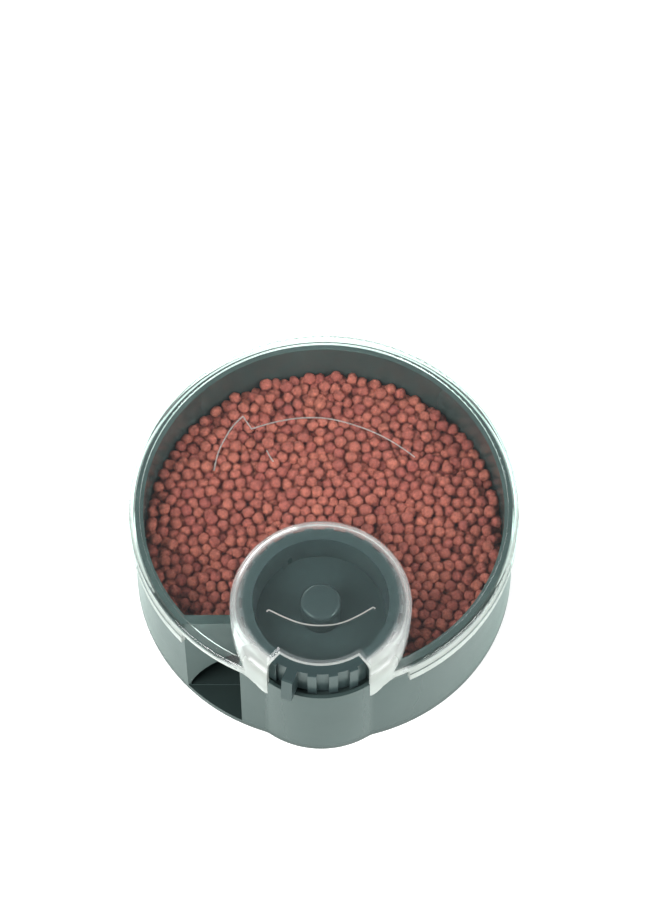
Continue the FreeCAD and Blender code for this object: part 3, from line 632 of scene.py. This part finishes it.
def in_chamber(place, size):
    """True where a pellet starts clear of the dial's well and the notch."""
    flat = place[:, :2]
    from_dial = np.hypot(flat[:, 0] - DIAL.x, flat[:, 1] - DIAL.y)
    return (from_dial > WELL_WALL + size * 0.4) & ~in_notch(flat, size * 0.2)


def keep_in_chamber(place, size):
    """Moves pellets off the drum's wall, the dial's well and the notch's back wall."""
    flat = place[:, :2]
    away = np.hypot(flat[:, 0], flat[:, 1])
    limit = CHAMBER_WALL - size
    outside = away > limit
    flat[outside] *= (limit[outside] / away[outside])[:, None]
    axis = np.array([DIAL.x, DIAL.y])
    from_dial = flat - axis
    gap = np.hypot(from_dial[:, 0], from_dial[:, 1])
    close = gap < WELL_WALL + size
    flat[close] = axis + from_dial[close] * ((WELL_WALL + size[close]) / gap[close])[:, None]
    barred = in_notch(flat, size)
    flat[barred, 1] = NOTCH_BACK + size[barred]


def neighbours(place, size):
    """Yields index pairs of pellets in the same or adjoining cells of a grid."""
    cell = 2.4 * size.max()
    keys = np.floor(place / cell).astype(int)
    keys -= keys.min(0)
    span = keys.max(0) + 3
    flat_key = (keys[:, 0] * span[1] + keys[:, 1]) * span[2] + keys[:, 2]
    order = np.argsort(flat_key, kind="stable")
    ranked = flat_key[order]
    for dx, dy, dz in np.ndindex(3, 3, 3):
        wanted = flat_key + ((dx - 1) * span[1] + (dy - 1)) * span[2] + dz - 1
        start = np.searchsorted(ranked, wanted, "left")
        stop = np.searchsorted(ranked, wanted, "right")
        for nth in range(int((stop - start).max())):
            mine = np.nonzero(start + nth < stop)[0]
            other = order[start[mine] + nth]
            pairs = mine != other
            yield mine[pairs], other[pairs]


def push_apart(place, size):
    """One pass that parts overlapping neighbours."""
    shift = np.zeros_like(place)
    for mine, other in neighbours(place, size):
        apart = place[mine] - place[other]
        gap = np.linalg.norm(apart, axis=1) + 1e-9
        overlap = size[mine] + size[other] - gap
        hit = overlap > 0
        push = apart[hit] / gap[hit][:, None] * (overlap[hit] * PUSH_SHARE)[:, None]
        np.add.at(shift, mine[hit], push)
    return place + shift


# ---------- pellets ----------

def pellet_forms(count, rng):
    """A few pellet forms: short pressed cylinders with rounded, slightly uneven ends."""
    forms = []
    for _ in range(count):
        clear_selection()
        bpy.ops.mesh.primitive_ico_sphere_add(subdivisions=2, radius=1.0, location=(0, 0, 0))
        bead = bpy.context.object
        points = np.array([v.co for v in bead.data.vertices])
        girth = np.hypot(points[:, 0], points[:, 1])
        reach = ((girth ** PELLET_SQUARENESS + np.abs(points[:, 2]) ** PELLET_SQUARENESS)
                 ** (-1 / PELLET_SQUARENESS))
        squared = points * reach[:, None]
        squared[:, 2] *= rng.uniform(*FORM_LENGTHS)
        squared[:, 0] *= rng.uniform(*FORM_WIDTHS)
        squared *= 1 + rng.normal(0, FORM_UNEVENNESS, (len(points), 1))
        squared /= np.linalg.norm(squared, axis=1).mean()
        for vertex, point in zip(bead.data.vertices, squared):
            vertex.co = point
        bpy.ops.object.shade_smooth()
        forms.append(bead)
    return forms


def lay_pellet(form, place, turn, size, tone):
    """A copy of a pellet form with its own mesh, laid in place, that carries its tone."""
    mesh = form.data.copy()
    layer = mesh.attributes.new("pellet_tone", "FLOAT", "POINT")
    layer.data.foreach_set("value", [tone] * len(mesh.vertices))
    pellet = bpy.data.objects.new("pellet", mesh)
    bpy.context.scene.collection.objects.link(pellet)
    pellet.matrix_world = Matrix.LocRotScale(Vector(place), Quaternion(turn), Vector([size] * 3))
    return pellet


class FEEDER_OT_food(bpy.types.Operator):
    """Fills the chamber with loose food pellets"""
    bl_idname = "feeder.food"
    bl_label = "Food pellets"

    def execute(self, context):
        sizes = context.scene.feeder_sizes
        rng = np.random.default_rng(FOOD_SEED)
        places, radii = pack_pellets(sizes.pellet_radius, sizes.fill_height, sizes.bed_depth, rng)
        forms = pellet_forms(PELLET_FORMS, rng)
        turns = rng.normal(size=(len(places), 4))
        turns /= np.linalg.norm(turns, axis=1)[:, None]
        tones = rng.beta(TONE_SHAPE, TONE_SHAPE, len(places))
        pellets = [lay_pellet(forms[i % PELLET_FORMS], places[i], turns[i],
                              radii[i] * PELLET_SWELL, tones[i]) for i in range(len(places))]
        clear_selection()
        for pellet in pellets:
            pellet.select_set(True)
        bpy.context.view_layer.objects.active = pellets[0]
        bpy.ops.object.join()
        settle(pellets[0], "food_pellets_0", food_crust(context.scene.feeder_colours.food), "drum")
        for form in forms:
            bpy.data.objects.remove(form)
        return {"FINISHED"}


# ---------- raised lines ----------

class FEEDER_OT_marks(bpy.types.Operator):
    """Models the raised arrow and bow on the lid, and the sill in the notch"""
    bl_idname = "feeder.marks"
    bl_label = "Raised lines"

    def execute(self, context):
        width = context.scene.feeder_sizes.line_width
        line_frost_and_highlight = frost_and_highlight_lines()
        for index, run in enumerate(ARROW_RUNS):
            line = raised_line(in_metres(run), PLATE_TOP, width)
            settle(line, "lid_arrow_%d" % index, line_frost_and_highlight, "lid")
        bow = raised_line(in_metres(CRESCENT, DIAL.x, DIAL.y), LID_TOP - width / 2, width)
        settle(bow, "hood_crescent", line_frost_and_highlight, "lid")
        sill = raised_line(in_metres(SILL), DRUM_LOW.z, width)
        settle(sill, "mouth_sill", bpy.data.materials["shell_plastic"], "drum")
        return {"FINISHED"}


# ---------- CAD nodes ----------

class FEEDER_OT_finishes(bpy.types.Operator):
    """Gives each moulded or turned part its material"""
    bl_idname = "feeder.finishes"
    bl_label = "Finishes"

    def execute(self, context):
        colours = context.scene.feeder_colours
        # The base plate takes a darker copy of the shell colour: painted shade on the notch's floor
        # under the lid.
        painted_shade_shell = shaded(colours.shell, 0.62)
        # The post and the rotor take a darker copy of the dial colour: painted shade for parts sunk
        # in the cup and the well.
        painted_shade_dial = shaded(colours.dial, 0.8)
        paint("lid", lid_plastic(colours.milk_and_highlight))
        paint("drum_body", moulded_plastic("shell_plastic", colours.shell, 0.2))
        paint("base_plate", moulded_plastic("base_plate_painted_shade", painted_shade_shell, 0.34))
        paint("dose_dial", moulded_plastic("dial_plastic", colours.dial, 0.3))
        paint("spindle_cap", moulded_plastic("post_plastic", painted_shade_dial, 0.16, spread=0.02, coat=0.3))
        paint("metering_rotor", moulded_plastic("rotor_plastic", painted_shade_dial, 0.42))
        paint("drive_socket", moulded_plastic("hub_plastic", HUB_COLOUR, 0.45, coat=0.0))
        paint("dial_o_ring", moulded_plastic("ring_rubber", RING_COLOUR, 0.6, coat=0.0))
        paint("dial_spindle", steel("ground_pin", PIN_COLOUR, 0.22))
        paint("base_screws", steel("zinc_screws", SCREW_COLOUR, 0.3))
        return {"FINISHED"}


# ---------- studio ----------

def soft_panel(name, place, width, height, power):
    """A rectangular area lamp turned towards the drum."""
    clear_selection()
    bpy.ops.object.light_add(type="AREA", location=place)
    panel = bpy.context.object
    panel.name = name
    panel.data.shape = "RECTANGLE"
    panel.data.size = width
    panel.data.size_y = height
    panel.data.energy = power
    panel.rotation_euler = (PANEL_AIM - Vector(place)).to_track_quat("-Z", "Y").to_euler()


def light_sky(tree):
    """A studio sky: white low down, where the walls mirror it, and dark overhead."""
    background = tree.nodes["Background"]
    background.inputs["Color"].default_value = (*SKY_COLOUR, 1)
    place = tree.nodes.new("ShaderNodeTexCoord")
    split = tree.nodes.new("ShaderNodeSeparateXYZ")
    tree.links.new(place.outputs["Generated"], split.inputs["Vector"])
    tree.links.new(ramp(tree, split.outputs["Z"], SKY_SPAN, SKY_LOW, SKY_HIGH),
                   background.inputs["Strength"])


def set_eye(scene):
    """The scene's camera, looking down at the lid from the dial's side."""
    camera = bpy.data.cameras.new("camera")
    camera.lens = EYE_LENS
    camera.sensor_width = EYE_SENSOR
    camera.sensor_fit = "AUTO"
    camera.clip_start = EYE_NEAR
    eye = bpy.data.objects.new("camera", camera)
    scene.collection.objects.link(eye)
    eye.location = EYE_PLACE
    eye.rotation_euler = (EYE_AIM - EYE_PLACE).to_track_quat("-Z", "Y").to_euler()
    scene.camera = eye


class FEEDER_OT_stage(bpy.types.Operator):
    """Builds the pale floor, the soft lamps, the sky and the camera"""
    bl_idname = "feeder.stage"
    bl_label = "Studio"

    def execute(self, context):
        scene = context.scene
        clear_selection()
        bpy.ops.mesh.primitive_plane_add(size=FLOOR_SIZE, location=(0, 0, CAD_LOW.z - FLOOR_GAP))
        floor = bpy.context.object
        floor.name = "studio_floor"
        floor.data.materials.append(studio_paper(scene.feeder_colours.paper))
        for panel in SOFT_PANELS:
            soft_panel(*panel)
        scene.world = bpy.data.worlds.new("studio_sky")
        scene.world.use_nodes = True
        light_sky(scene.world.node_tree)
        set_eye(scene)
        scene.view_settings.view_transform = "Standard"
        return {"FINISHED"}


# ---------- the add-on ----------

class FEEDER_PT_panel(bpy.types.Panel):
    """Lists the food drum's sizes, colours and making steps"""
    bl_label = "Food drum"
    bl_idname = "FEEDER_PT_panel"
    bl_space_type = "VIEW_3D"
    bl_region_type = "UI"
    bl_category = "Feeder"

    def draw(self, context):
        layout = self.layout
        for group in (context.scene.feeder_sizes, context.scene.feeder_colours):
            for name in group.__annotations__:
                layout.prop(group, name)
        for step in STEPS:
            layout.operator(step.bl_idname)


STEPS = (FEEDER_OT_finishes, FEEDER_OT_food, FEEDER_OT_marks, FEEDER_OT_stage)
CLASSES = (FeederSizes, FeederColours, *STEPS, FEEDER_PT_panel)


def register():
    for item in CLASSES:
        bpy.utils.register_class(item)
    bpy.types.Scene.feeder_sizes = bpy.props.PointerProperty(type=FeederSizes)
    bpy.types.Scene.feeder_colours = bpy.props.PointerProperty(type=FeederColours)


def unregister():
    del bpy.types.Scene.feeder_colours
    del bpy.types.Scene.feeder_sizes
    for item in reversed(CLASSES):
        bpy.utils.unregister_class(item)


def main():
    register()
    bpy.ops.feeder.finishes()
    bpy.ops.feeder.food()
    bpy.ops.feeder.marks()
    bpy.ops.feeder.stage()


if __name__ == "__main__":
    main()
